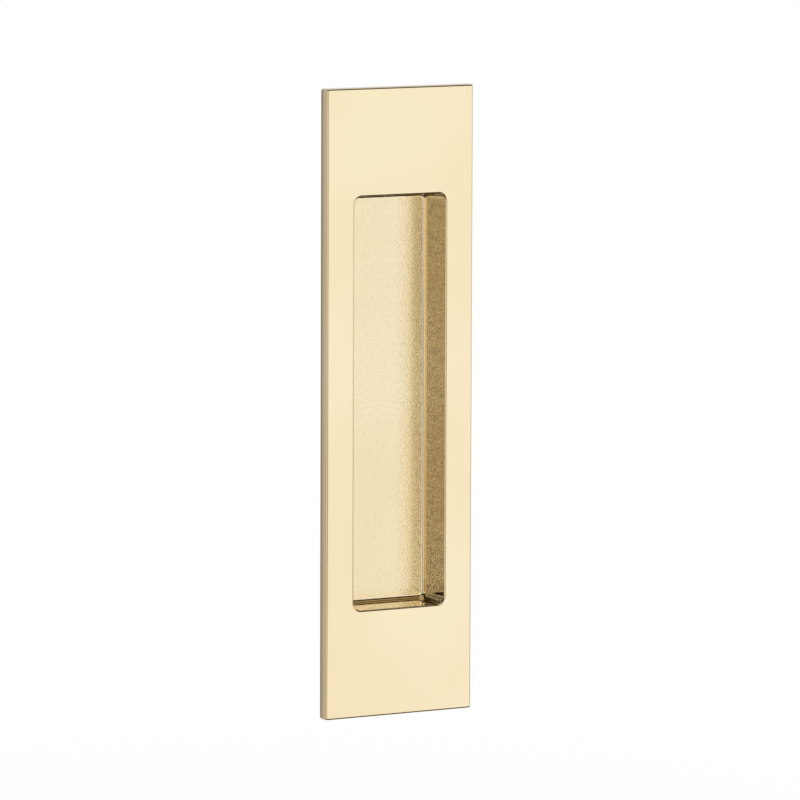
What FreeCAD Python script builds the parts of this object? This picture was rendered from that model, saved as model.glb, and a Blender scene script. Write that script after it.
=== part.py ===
"""Flush pull for a pocket door: one casting, a face plate with a drafted finger recess in it.

Lengths are millimetres and angles are degrees. The origin is the centre of the seat plane, where the
back of the plate meets the face of the door. +Z is up along the plate, +X is to the right of someone
who faces the door, and +Y points into the door, so the polished front looks along -Y.
"""

import FreeCAD, Part
import math
import os
import Sketcher

NODE = "flush_pull"

# Driving dimensions, each with its own cell in the sheet
SIZES = {
    # face plate
    "plate_height": 150.0,
    "plate_width": 40.0,
    "plate_thickness": 3.2,  # from the door's face to the polished front
    "plate_corner_radius": 0.6,  # its four corners, seen from the front
    "front_edge_radius": 0.5,  # between the polished front and the plate's sides
    "back_edge_radius": 0.2,  # between the plate's sides and its back
    # finger recess, measured where its walls would meet the front before the rim is rounded
    "mouth_height": 98.6,
    "mouth_width": 25.0,
    "mouth_corner_radius": 2.0,
    "rim_radius": 0.5,  # between the front and the recess walls
    "recess_depth": 9.0,  # from the front to the recess floor
    "recess_draft": 4.0,  # lean of the walls, which lets the casting leave its die
    "floor_radius": 1.0,  # between the recess walls and the floor
    # cup that stands behind the plate, in the door
    "cup_wall": 2.0,  # its sides and its back
    "cup_edge_radius": 2.0,  # between its sides and its back
    "root_radius": 0.5,  # where it stands on the back of the plate
}

FIRST_GUESS = (10.0, 20.0, 1.0)  # half width, half height and radius that a sketch starts from
ROLL_LIMIT = 0.95  # share of a corner's radius that the edge rolled round that corner may take
NEAR = 1e-4  # how close to a plane a flat face lies

# Sizes that follow from others: a drafted wall moves in by its depth times the slope
SLOPE = "tan(sizes.recess_draft * 1 deg)"
CUP_STEP = f"(sizes.cup_wall / cos(sizes.recess_draft * 1 deg) - sizes.plate_thickness * {SLOPE})"
CUP_LENGTH = "(sizes.recess_depth + sizes.cup_wall - sizes.plate_thickness)"
FLOOR_CORNER = f"(sizes.mouth_corner_radius - sizes.recess_depth * {SLOPE})"
CUP_END_CORNER = f"(sizes.mouth_corner_radius + {CUP_STEP} - {CUP_LENGTH} * {SLOPE})"


def make_sheet(doc):
    """The sheet that drives the model: one row for each size, with the size's name as its alias."""
    sheet = doc.addObject("Spreadsheet::Sheet", "sizes")
    for row, (name, value) in enumerate(SIZES.items(), start=1):
        sheet.set(f"A{row}", name)
        sheet.set(f"B{row}", str(value))
        sheet.setAlias(f"B{row}", name)
    doc.recompute()


def rounded_rectangle(body, name, width, height, radius, forward="0"):
    """A sketch of a rectangle with round corners, centred on the long axis and parallel to the seat.

    The sizes are expressions. forward is how far the sketch stands in front of the seat plane.
    """
    sketch = body.newObject("Sketcher::SketchObject", name)
    seat = next(o for o in body.Origin.OriginFeatures if o.Role == "XZ_Plane")
    sketch.AttachmentSupport = (seat, [""])
    sketch.MapMode = "FlatFace"
    sketch.setExpression("AttachmentOffset.Base.z", forward)

    half_width, half_height, guess = FIRST_GUESS
    along = (half_width - guess, half_height - guess)
    corners = [(1, 1), (-1, 1), (-1, -1), (1, -1)]
    centres = [FreeCAD.Vector(x * along[0], y * along[1], 0) for x, y in corners]
    arcs = []
    for turn, centre in enumerate(centres):
        circle = Part.Circle(centre, FreeCAD.Vector(0, 0, 1), guess)
        arc = Part.ArcOfCircle(circle, turn * math.pi / 2, (turn + 1) * math.pi / 2)
        arcs.append(sketch.addGeometry(arc))

    start, end, middle = 1, 2, 3
    lines = []
    for first, second in zip(arcs, arcs[1:] + arcs[:1]):
        run = Part.LineSegment(sketch.Geometry[first].EndPoint, sketch.Geometry[second].StartPoint)
        line = sketch.addGeometry(run)
        sketch.addConstraint(Sketcher.Constraint("Tangent", first, end, line, start))
        sketch.addConstraint(Sketcher.Constraint("Tangent", line, end, second, start))
        lines.append(line)
    top, left, bottom, right = lines

    for line in (top, bottom):
        sketch.addConstraint(Sketcher.Constraint("Horizontal", line))
    for line in (left, right):
        sketch.addConstraint(Sketcher.Constraint("Vertical", line))
    for arc in arcs[1:]:
        sketch.addConstraint(Sketcher.Constraint("Equal", arcs[0], arc))
    sketch.addConstraint(Sketcher.Constraint("Symmetric", arcs[0], middle, arcs[2], middle, -1, 1))

    bound = {
        "radius": (Sketcher.Constraint("Radius", arcs[0], guess), radius),
        "width": (Sketcher.Constraint("DistanceX", left, start, right, start, 2 * half_width), width),
        "height": (Sketcher.Constraint("DistanceY", bottom, start, top, start, 2 * half_height), height),
    }
    for label, (constraint, expression) in bound.items():
        index = sketch.addConstraint(constraint)
        sketch.renameConstraint(index, label)
        sketch.setExpression(f"Constraints.{label}", expression)
    body.Document.recompute()
    return sketch


def extrude(body, kind, name, sketch, length, taper="0", into_door=False):
    """A Pad or Pocket of the sketch, whose walls lean in by taper degrees as it goes."""
    feature = body.newObject(f"PartDesign::{kind}", name)
    feature.Profile = sketch
    feature.Reversed = into_door if kind == "Pad" else not into_door
    feature.setExpression("Length", length)
    feature.setExpression("TaperAngle", taper)
    sketch.Visibility = False
    body.Document.recompute()


def roll_rim(body, name, depth, radius, inner=False):
    """Rolls a radius along the outer or the inner rim of the flat face that lies at that depth in Y."""
    base = body.Tip
    flats = [f for f in base.Shape.Faces if f.BoundBox.YLength < NEAR and abs(f.CenterOfMass.y - depth) < NEAR]
    face = flats[0]
    rims = [w for w in face.Wires if w.isSame(face.OuterWire) != inner]
    edges = [e for w in rims for e in w.Edges]
    names = [f"Edge{i}" for i, e in enumerate(base.Shape.Edges, start=1) if any(e.isSame(r) for r in edges)]
    fillet = body.newObject("PartDesign::Fillet", name)
    fillet.Base = (base, names)
    fillet.setExpression("Radius", radius)
    body.Document.recompute()


def make_pull(doc):
    """The casting: plate, then the cup behind it, then the recess through both, then the edges."""
    body = doc.addObject("PartDesign::Body", NODE)
    body.Label = NODE

    plate = rounded_rectangle(
        body, "plate_outline", "sizes.plate_width", "sizes.plate_height", "sizes.plate_corner_radius"
    )
    extrude(body, "Pad", "plate", plate, "sizes.plate_thickness")

    cup = rounded_rectangle(
        body,
        "cup_outline",
        f"sizes.mouth_width + 2 * {CUP_STEP}",
        f"sizes.mouth_height + 2 * {CUP_STEP}",
        f"sizes.mouth_corner_radius + {CUP_STEP}",
    )
    extrude(body, "Pad", "cup", cup, CUP_LENGTH, "-sizes.recess_draft", into_door=True)

    mouth = rounded_rectangle(
        body,
        "mouth_outline",
        "sizes.mouth_width",
        "sizes.mouth_height",
        "sizes.mouth_corner_radius",
        forward="sizes.plate_thickness",
    )
    extrude(body, "Pocket", "recess", mouth, "sizes.recess_depth", "-sizes.recess_draft", into_door=True)

    front = -SIZES["plate_thickness"]
    floor = front + SIZES["recess_depth"]
    cup_end = floor + SIZES["cup_wall"]
    roll_rim(body, "floor_fillet", floor, f"min(sizes.floor_radius; {ROLL_LIMIT} * {FLOOR_CORNER})")
    roll_rim(body, "rim_rounding", front, "sizes.rim_radius", inner=True)
    roll_rim(body, "front_rounding", front, "sizes.front_edge_radius")
    roll_rim(body, "back_rounding", 0.0, "sizes.back_edge_radius")
    roll_rim(body, "root_fillet", 0.0, "sizes.root_radius", inner=True)
    roll_rim(body, "cup_rounding", cup_end, f"min(sizes.cup_edge_radius; {ROLL_LIMIT} * {CUP_END_CORNER})")
    return body


def check(doc, body):
    """Stops if a feature failed, or if the casting isn't one valid solid."""
    failed = [o.Name for o in doc.Objects if {"Invalid", "Error"} & set(o.State)]
    if failed:
        raise RuntimeError(f"failed features: {failed}")
    shape = body.Shape
    if shape.isNull() or not shape.isValid() or len(shape.Solids) != 1:
        raise RuntimeError(f"{body.Label} is not one valid solid")


doc = FreeCAD.newDocument("pocket_door_pull")
make_sheet(doc)
pull = make_pull(doc)
check(doc, pull)
os.makedirs("parts", exist_ok=True)
pull.Shape.exportStep(f"parts/{pull.Label}.step")
box = pull.Shape.optimalBoundingBox()
print(f"{pull.Label}: {box.XLength:.2f} x {box.YLength:.2f} x {box.ZLength:.2f} mm,", end=" ")
print(f"{pull.Shape.Volume / 1000:.2f} cm3")
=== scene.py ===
import math

import bpy
import numpy as np
from mathutils import Matrix, Vector


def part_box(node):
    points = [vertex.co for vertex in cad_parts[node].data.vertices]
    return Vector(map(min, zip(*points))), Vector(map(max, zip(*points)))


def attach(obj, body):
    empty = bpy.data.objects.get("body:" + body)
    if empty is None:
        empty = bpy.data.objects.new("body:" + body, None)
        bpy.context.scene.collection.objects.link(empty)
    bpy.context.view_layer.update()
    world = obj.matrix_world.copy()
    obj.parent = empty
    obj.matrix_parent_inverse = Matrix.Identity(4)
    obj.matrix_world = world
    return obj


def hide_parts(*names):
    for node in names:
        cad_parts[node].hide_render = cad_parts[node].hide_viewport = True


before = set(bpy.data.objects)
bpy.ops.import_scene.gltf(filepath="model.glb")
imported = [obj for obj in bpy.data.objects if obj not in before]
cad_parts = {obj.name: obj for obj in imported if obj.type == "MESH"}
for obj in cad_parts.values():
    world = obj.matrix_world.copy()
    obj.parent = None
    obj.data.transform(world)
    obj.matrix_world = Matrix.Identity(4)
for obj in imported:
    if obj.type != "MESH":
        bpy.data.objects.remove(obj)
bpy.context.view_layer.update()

MM = 0.001
LOW, HIGH = (np.array(corner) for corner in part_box("flush_pull"))

# Sizes of the casting, as the solid has them
PLATE_HALF = (HIGH - LOW)[[0, 2]] / 2
FRONT = LOW[1]
CUP_BACK = HIGH[1]
PLATE_CORNER = 0.6 * MM
FRONT_EDGE = 0.5 * MM
BACK_EDGE = 0.2 * MM
MOUTH_HALF = np.array((25.0, 98.6)) * MM / 2
MOUTH_CORNER = 2.0 * MM
RIM = 0.5 * MM
RECESS_DEPTH = 9.0 * MM
DRAFT = math.radians(4.0)
FLOOR_FILLET = 1.0 * MM
CUP_WALL = 2.0 * MM
CUP_EDGE = 2.0 * MM
ROOT_FILLET = 0.5 * MM

# Radius of the crown that buffing leaves on the plate's sides, about 0.05 mm high, in the scene alone
SIDE_CROWN = 15.0 * MM

# How finely the casting's round edges are drawn
CORNER_STEPS = 24
EDGE_STEPS = 16

# Columns of the casting's section
COLUMNS = range(8)
CENTRE_X, CENTRE_Z, RADIUS, DEPTH, NORMAL_OUT, NORMAL_BACK, GRAIN, SATIN = COLUMNS

# How much of the floor's grain is left a quarter of the way up the fillet, and on the recess walls,
# which slide along the die and come out smoother
FILLET_GRAIN = 0.3
WALL_GRAIN = 0.1

# Brass-coloured plating: its golds, the painted shade of the pits in its cast skin, and its finish
GOLD_PALE = "FAEBC8"
GOLD_WARM = "F6E4BC"
# The pit gold is painted shade, mixed into the cast skin's spots
GOLD_PIT_SHADE = "F0DEB4"
BUFFED_ROUGHNESS = (0.045, 0.075)
CAST_ROUGHNESS = 0.19
SATIN_ROUGHNESS = 0.4

# Its patterns, by their real size in mm. Layers are finer noise on top, and a span is the part of the
# noise, which gathers round 0.5, over which the look changes
PATCH_MM = 45.0
PATCH_LAYERS = 2.0
PATCH_SPAN = (0.35, 0.65)
HAZE_MM = 14.0
HAZE_LAYERS = 3.0
HAZE_SPAN = (0.3, 0.7)
WAVE_MM = 9.0
WAVE_LAYERS = 0.0
WAVE_HEIGHT = 0.008 * MM

# The painted shade in the pits of the cast skin and the bumps of its grain, drawn coarser than on a real
# casting, so that they show
PIT_SHADE_MM = 0.3
PIT_SHADE_LAYERS = 1.0
PIT_SHADE_SPAN = (0.5, 0.75)
GRAIN_MM = 0.37
GRAIN_LAYERS = 1.0
GRAIN_HEIGHT = 0.058 * MM

# Over how much of a pixel a bump's slope is taken
BUMP_FILTER = 0.1

# The studio tent: its cloth, then panels as azimuth from and to, height from and to, soft edge, colour
TENT_RADIUS = 0.9
TENT_GRID = (241, 121)
TENT_CLOTH = "C0BAB4"
TENT_PANELS = [
    (-109, 108, -72, -20, 12, "443E3A"),   # dark ground
    (-110, 92, 22, 56, 12, "3A342F"),      # dark band overhead
    (95, 178, -25, 40, 20, "E4E9F0"),      # pale wall behind on the right
    (-70, -44, -28, 10, 8, "E2D0BC"),      # warm panel on the left
    (-34, 26, -30, 25, 6, "FAFCFF"),       # cool white panel in front
    (-20, -5, -12, 3, 3, "44464C"),        # small grey screen in front, for the shade beside the wall
    (8, 47, -34, 17, 12, "FFFFFF"),        # main white panel, which the face mirrors
    (47, 57, -30, 20, 5, "6E645C"),        # gap on its right
    (64, 83, -8, 19, 13, "FDFDFD"),        # white strip on the right
    (-85, -66, -22, 14, 13, "E7EAEB"),     # white strip on the left
    (-56, -28, 2, 48, 4, "060504"),        # black screen high on the left
    (-44, -33.5, -24, -3.5, 3, "0E0B0A"),  # black screen under it, which the right wall mirrors
    (-175, -152, -20, 14, 16, "808286"),   # grey panel behind on the left, which the plate's side mirrors
]

# The studio itself
STUDIO_WHITE = "FFFFFF"
FLOOR_LEVEL = -0.12
FLOOR_SIZE = 6.0

# The camera, fitted to the edges of the plate and the recess in the photograph
IMAGE_WIDTH = 800
FOCAL_PIXELS = 6596.7
SENSOR = 36.0
CAMERA_SIDE = math.radians(30.2)
CAMERA_RISE = math.radians(6.549)
CAMERA_ROLL = math.radians(0.193)
CAMERA_DISTANCE = 1567.8 * MM
CAMERA_SHIFT = (1.583 * MM, 0.178 * MM)
CAMERA_REACH = 20.0


def linear(hex_colour):
    """An sRGB hex colour as linear red, green, blue and an alpha of 1, by the sRGB standard's curve."""
    parts = np.array([int(hex_colour[i:i + 2], 16) for i in (0, 2, 4)]) / 255
    low = parts / 12.92
    high = ((parts + 0.055) / 1.055) ** 2.4
    return (*np.where(parts <= 0.04045, low, high).tolist(), 1.0)


def casting_profile():
    """The section of the casting, from the edge of the recess floor round to the edge of its back.

    Each row is a station: corner centre x and z, corner radius, y, the normal's share outwards in the
    plate's plane, its share along y, and then how much grain and how much satin the surface has. A round
    edge is an arc of normals: a convex one stands out from its centre along them, and a hollow one,
    with a negative radius, stands back from it. The plate's crowned side is an arc too, of a large
    radius, and the edges before and behind it start from its last normals.
    """
    sin, cos, tan = math.sin(DRAFT), math.cos(DRAFT), math.tan(DRAFT)
    mouth = (*(MOUTH_HALF - MOUTH_CORNER), MOUTH_CORNER)
    plate = (*(PLATE_HALF - PLATE_CORNER), PLATE_CORNER)
    cup = (*mouth[:2], MOUTH_CORNER + CUP_WALL / cos + FRONT * tan)
    floor = FRONT + RECESS_DEPTH

    # Turns of the normal: to the front, to the back, into the recess and away from the cup
    to_front, to_back = -math.pi / 2, math.pi / 2
    in_recess, off_cup = DRAFT - math.pi, DRAFT

    def roll(outline, offset, y, radius, start, end, grain, satin):
        """The stations of one round edge, with its grain and its satin spread evenly along it."""
        turn = np.linspace(start, end, EDGE_STEPS + 1)
        share = np.linspace(0, 1, EDGE_STEPS + 1)
        rows = np.empty((EDGE_STEPS + 1, len(COLUMNS)))
        rows[:, [CENTRE_X, CENTRE_Z, RADIUS]] = outline
        rows[:, NORMAL_OUT], rows[:, NORMAL_BACK] = np.cos(turn), np.sin(turn)
        rows[:, RADIUS] += offset + radius * rows[:, NORMAL_OUT]
        rows[:, DEPTH] = y + radius * rows[:, NORMAL_BACK]
        rows[:, GRAIN] = np.interp(share, np.linspace(0, 1, len(grain)), grain)
        rows[:, SATIN] = np.interp(share, np.linspace(0, 1, len(satin)), satin)
        return rows

    # How far the recess wall runs back before it meets the floor's fillet
    hollow = RECESS_DEPTH - FLOOR_FILLET * (1 - sin)
    fillet = roll(mouth, -hollow * tan - FLOOR_FILLET * cos, floor - FLOOR_FILLET, -FLOOR_FILLET,
                  to_front, in_recess, (1, FILLET_GRAIN, WALL_GRAIN, WALL_GRAIN, WALL_GRAIN), (0,))
    rim = roll(mouth, RIM * cos - RIM * (1 - sin) * tan, FRONT + RIM, RIM,
               in_recess, to_front, (WALL_GRAIN, 0, 0), (0,))

    # The crown's middle, half its length, and how far its normal turns where it meets each edge
    middle = (FRONT + FRONT_EDGE - BACK_EDGE) / 2
    half_side = middle - FRONT - FRONT_EDGE
    ahead = math.asin(half_side / (SIDE_CROWN - FRONT_EDGE))
    behind = math.asin(half_side / (SIDE_CROWN - BACK_EDGE))
    front_edge = roll(plate, (SIDE_CROWN - FRONT_EDGE) * math.cos(ahead) - SIDE_CROWN, FRONT + FRONT_EDGE,
                      FRONT_EDGE, to_front, -ahead, (0,), (0,))
    side = roll(plate, -SIDE_CROWN, middle, SIDE_CROWN, -ahead, behind, (0,), (0,))
    back_edge = roll(plate, (SIDE_CROWN - BACK_EDGE) * math.cos(behind) - SIDE_CROWN, -BACK_EDGE,
                     BACK_EDGE, behind, to_back, (0, 1), (0, 1))

    # The cup behind the plate, and how far it runs back before its edge turns
    root = roll(cup, ROOT_FILLET * cos - ROOT_FILLET * (1 - sin) * tan, ROOT_FILLET, -ROOT_FILLET,
                to_back, off_cup, (1,), (1,))
    stretch = CUP_BACK - CUP_EDGE * (1 - sin)
    cup_edge = roll(cup, -stretch * tan - CUP_EDGE * cos, CUP_BACK - CUP_EDGE, CUP_EDGE,
                    off_cup, to_back, (1,), (1,))
    return np.vstack([fillet, rim, front_edge, side[1:-1], back_edge, root, cup_edge])


def pull_casting():
    """Face plate, recess and cup as one closed skin.

    A point is its station's corner centre, mirrored into one of four quarters, plus the corner radius
    times the unit vector of its angle, so each station is a rectangle with round corners. Neighbouring
    stations are joined by quads, and the flat floor and back are closed by rungs across the long axis.
    The normals are those of the profile, turned by the same angle.
    """
    rows = casting_profile()
    quarters = np.repeat([(1, 1), (-1, 1), (-1, -1), (1, -1)], CORNER_STEPS + 1, axis=0)
    starts = np.repeat(np.arange(4), CORNER_STEPS + 1) * math.pi / 2
    angles = starts + np.tile(np.linspace(0, math.pi / 2, CORNER_STEPS + 1), 4)
    unit = np.stack([np.cos(angles), np.sin(angles)], axis=1)

    flat = rows[:, None, [CENTRE_X, CENTRE_Z]] * quarters + rows[:, None, [RADIUS]] * unit
    count, around = flat.shape[:2]
    points = np.empty((count, around, 3))
    points[..., [0, 2]] = flat
    points[..., 1] = rows[:, [DEPTH]]
    normals = np.empty_like(points)
    normals[..., [0, 2]] = rows[:, None, [NORMAL_OUT]] * unit
    normals[..., 1] = rows[:, [NORMAL_BACK]]

    index = np.arange(count * around).reshape(count, around)
    after = np.roll(index, -1, axis=1)
    sides = np.stack([index[:-1], index[1:], after[1:], after[:-1]], axis=-1).reshape(-1, 4)
    half = around // 2
    right = np.arange(half // 2 - 1, -half // 2 - 1, -1) % around
    left = np.arange(half // 2, 3 * half // 2) % around
    rungs = np.stack([right[:-1], right[1:], left[1:], left[:-1]], axis=-1)
    faces = np.vstack([sides, index[0][rungs][:, ::-1], index[-1][rungs]])

    mesh = bpy.data.meshes.new("pull_casting")
    mesh.from_pydata(points.reshape(-1, 3).tolist(), [], faces.tolist())
    mesh.polygons.foreach_set("use_smooth", np.ones(len(mesh.polygons), bool))
    for name, column in {"cast_grain": GRAIN, "satin": SATIN}.items():
        layer = mesh.attributes.new(name, "FLOAT", "POINT")
        layer.data.foreach_set("value", np.repeat(rows[:, column], around))
    mesh.normals_split_custom_set_from_vertices(normals.reshape(-1, 3).tolist())
    piece = bpy.data.objects.new("pull_casting", mesh)
    bpy.context.collection.objects.link(piece)
    return piece


def add_node(tree, kind, settings=None, **links):
    """Adds a node. settings are its properties, and links are its inputs, as values or as sockets.

    A link such as _6 names an input by its number, and in other names an underscore is a space.
    """
    node = tree.nodes.new(kind)
    for name, value in (settings or {}).items():
        setattr(node, name, value)
    for name, value in links.items():
        socket = node.inputs[int(name[1:])] if name[1:].isdigit() else node.inputs[name.replace("_", " ")]
        if isinstance(value, bpy.types.NodeSocket):
            tree.links.new(value, socket)
        else:
            socket.default_value = value
    return node


def new_material(name):
    """An empty node material and its tree."""
    material = bpy.data.materials.new(name)
    material.use_nodes = True
    material.node_tree.nodes.clear()
    return material, material.node_tree


def plated_casting():
    """Brass-coloured plating on cast zinc.

    The buffed face is a pale gold mirror with a faint unevenness. The recess was cast, not buffed, so
    its grain shows through the plating as a fine sparkle of bumps, with painted shade in its pits, and the
    back is left as a satin casting.
    """
    material, tree = new_material("brass_plated_zinc_casting")
    place = add_node(tree, "ShaderNodeTexCoord")
    mm = add_node(tree, "ShaderNodeVectorMath", {"operation": "SCALE"},
                  Vector=place.outputs["Object"], Scale=1 / MM)
    grain = add_node(tree, "ShaderNodeAttribute", {"attribute_name": "cast_grain"})
    satin = add_node(tree, "ShaderNodeAttribute", {"attribute_name": "satin"})

    # The plating is a little thicker here and there, which warms its gold
    patches = add_node(tree, "ShaderNodeTexNoise", Vector=mm.outputs[0], Scale=1 / PATCH_MM,
                       Detail=PATCH_LAYERS)
    warmth = add_node(tree, "ShaderNodeMapRange", Value=patches.outputs["Fac"],
                      From_Min=PATCH_SPAN[0], From_Max=PATCH_SPAN[1])
    gold = add_node(tree, "ShaderNodeMix", {"data_type": "RGBA"},
                    _0=warmth.outputs["Result"], _6=linear(GOLD_PALE), _7=linear(GOLD_WARM))

    # Painted shade: spots of the cast skin, taken as the pits between its grains, get a deeper gold in the
    # base colour, standing in for the glints and shade of its reflections
    pit_shade_noise = add_node(tree, "ShaderNodeTexNoise", Vector=mm.outputs[0], Scale=1 / PIT_SHADE_MM, Detail=PIT_SHADE_LAYERS)
    pit_shade_amount = add_node(tree, "ShaderNodeMapRange", Value=pit_shade_noise.outputs["Fac"],
                     From_Min=PIT_SHADE_SPAN[0], From_Max=PIT_SHADE_SPAN[1])
    painted_pit_shade = add_node(tree, "ShaderNodeMath", {"operation": "MULTIPLY"},
                      _0=pit_shade_amount.outputs["Result"], _1=grain.outputs["Fac"])
    colour = add_node(tree, "ShaderNodeMix", {"data_type": "RGBA"},
                      _0=painted_pit_shade.outputs[0], _6=gold.outputs[2], _7=linear(GOLD_PIT_SHADE))

    # Buffing leaves the face a touch hazier in places
    haze = add_node(tree, "ShaderNodeTexNoise", Vector=mm.outputs[0], Scale=1 / HAZE_MM, Detail=HAZE_LAYERS)
    buffed = add_node(tree, "ShaderNodeMapRange", Value=haze.outputs["Fac"],
                      From_Min=HAZE_SPAN[0], From_Max=HAZE_SPAN[1],
                      To_Min=BUFFED_ROUGHNESS[0], To_Max=BUFFED_ROUGHNESS[1])
    cast = add_node(tree, "ShaderNodeMix", _0=grain.outputs["Fac"], _2=buffed.outputs["Result"],
                    _3=CAST_ROUGHNESS)
    rough = add_node(tree, "ShaderNodeMix", _0=satin.outputs["Fac"], _2=cast.outputs[0],
                     _3=SATIN_ROUGHNESS)

    # Bumps of the cast skin, and the long waves that a buffing wheel leaves
    bumps = add_node(tree, "ShaderNodeTexNoise", Vector=mm.outputs[0], Scale=1 / GRAIN_MM,
                     Detail=GRAIN_LAYERS)
    height = add_node(tree, "ShaderNodeMath", {"operation": "MULTIPLY"},
                      _0=bumps.outputs["Fac"], _1=grain.outputs["Fac"])
    skin = add_node(tree, "ShaderNodeBump", Strength=1.0, Distance=GRAIN_HEIGHT, Filter_Width=BUMP_FILTER,
                    Height=height.outputs[0])
    waves = add_node(tree, "ShaderNodeTexNoise", Vector=mm.outputs[0], Scale=1 / WAVE_MM,
                     Detail=WAVE_LAYERS)
    normal = add_node(tree, "ShaderNodeBump", Strength=1.0, Distance=WAVE_HEIGHT, Filter_Width=BUMP_FILTER,
                      Height=waves.outputs["Fac"], Normal=skin.outputs["Normal"])

    shader = add_node(tree, "ShaderNodeBsdfPrincipled", Base_Color=colour.outputs[2], Metallic=1.0,
                      Roughness=rough.outputs[0], Normal=normal.outputs["Normal"])
    add_node(tree, "ShaderNodeOutputMaterial", Surface=shader.outputs["BSDF"])
    return material


def studio():
    """Even white light from all round."""
    world = bpy.data.worlds.new("studio")
    bpy.context.scene.world = world
    world.use_nodes = True
    tree = world.node_tree
    tree.nodes.clear()
    light = add_node(tree, "ShaderNodeBackground", Color=linear(STUDIO_WHITE), Strength=1.0)
    add_node(tree, "ShaderNodeOutputWorld", Surface=light.outputs["Background"])


def window(value, low, high, soft):
    """1 from low to high, falling smoothly to 0 over a width of soft on both sides."""
    rise = np.clip((value - low) / soft + 0.5, 0, 1)
    fall = np.clip((high - value) / soft + 0.5, 0, 1)
    inside = np.minimum(rise, fall)
    return inside * inside * (3 - 2 * inside)


def tent():
    """What the metal mirrors: a sphere of cloth round the object, seen only in reflections.

    A point is the radius times the unit vector of its azimuth, from the front towards the right, and
    its height. The light of each point is laid on panel by panel, each with soft edges.
    """
    azimuth, height = np.meshgrid(np.linspace(-180, 180, TENT_GRID[0]), np.linspace(-90, 90, TENT_GRID[1]))
    light = np.full((*azimuth.shape, 4), linear(TENT_CLOTH))
    for az0, az1, el0, el1, soft, colour in TENT_PANELS:
        cover = window(azimuth, az0, az1, soft) * window(height, el0, el1, soft)
        light += cover[..., None] * (np.array(linear(colour)) - light)
    turn, rise = np.radians(azimuth), np.radians(height)
    points = TENT_RADIUS * np.stack(
        [np.sin(turn) * np.cos(rise), -np.cos(turn) * np.cos(rise), np.sin(rise)], axis=-1
    )
    index = np.arange(azimuth.size).reshape(azimuth.shape)
    faces = np.stack([index[:-1, :-1], index[:-1, 1:], index[1:, 1:], index[1:, :-1]], axis=-1)
    mesh = bpy.data.meshes.new("studio_tent")
    mesh.from_pydata(points.reshape(-1, 3).tolist(), [], faces.reshape(-1, 4).tolist())
    layer = mesh.attributes.new("light", "FLOAT_COLOR", "POINT")
    layer.data.foreach_set("color", light.ravel())
    material, tree = new_material("tent_cloth")
    level = add_node(tree, "ShaderNodeAttribute", {"attribute_name": "light"})
    glow = add_node(tree, "ShaderNodeEmission", Color=level.outputs["Color"], Strength=1.0)
    add_node(tree, "ShaderNodeOutputMaterial", Surface=glow.outputs["Emission"])
    mesh.materials.append(material)
    cloth = bpy.data.objects.new("studio_tent", mesh)
    bpy.context.collection.objects.link(cloth)
    cloth.visible_camera = False
    cloth.visible_diffuse = False
    cloth.visible_transmission = False
    cloth.visible_volume_scatter = False
    cloth.visible_shadow = False


def studio_floor():
    """A white floor some way under the object, wide enough to fill the view."""
    size = FLOOR_SIZE / 2
    mesh = bpy.data.meshes.new("studio_floor")
    corners = [(-size, -size, FLOOR_LEVEL), (size, -size, FLOOR_LEVEL),
               (size, size, FLOOR_LEVEL), (-size, size, FLOOR_LEVEL)]
    mesh.from_pydata(corners, [], [(0, 1, 2, 3)])
    material, tree = new_material("white_paper_floor")
    paper = add_node(tree, "ShaderNodeBsdfDiffuse", Color=linear(STUDIO_WHITE))
    add_node(tree, "ShaderNodeOutputMaterial", Surface=paper.outputs["BSDF"])
    mesh.materials.append(material)
    floor = bpy.data.objects.new("studio_floor", mesh)
    bpy.context.collection.objects.link(floor)
    floor.visible_glossy = False


def photo_camera():
    """A long lens to the left of the plate and a little above its middle, as the photograph was taken."""
    side, rise = CAMERA_SIDE, CAMERA_RISE
    ahead = Vector((math.sin(side) * math.cos(rise), math.cos(side) * math.cos(rise), -math.sin(rise)))
    right = Vector((math.cos(side), -math.sin(side), 0))
    up = right.cross(ahead)
    turn = Matrix.Rotation(-CAMERA_ROLL, 3, ahead)
    right, up = turn @ right, turn @ up
    lens = bpy.data.cameras.new("camera")
    lens.sensor_width = SENSOR
    lens.lens = SENSOR * FOCAL_PIXELS / IMAGE_WIDTH
    lens.clip_end = CAMERA_REACH
    camera = bpy.data.objects.new("camera", lens)
    bpy.context.collection.objects.link(camera)
    place = right * CAMERA_SHIFT[0] + up * CAMERA_SHIFT[1] - ahead * CAMERA_DISTANCE
    camera.matrix_world = Matrix.Translation(place) @ Matrix((right, up, -ahead)).transposed().to_4x4()
    bpy.context.scene.camera = camera


bpy.context.scene.view_settings.view_transform = "Standard"

casting = pull_casting()
casting.data.materials.append(plated_casting())
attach(casting, "root")
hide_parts("flush_pull")

studio()
tent()
studio_floor()
photo_camera()
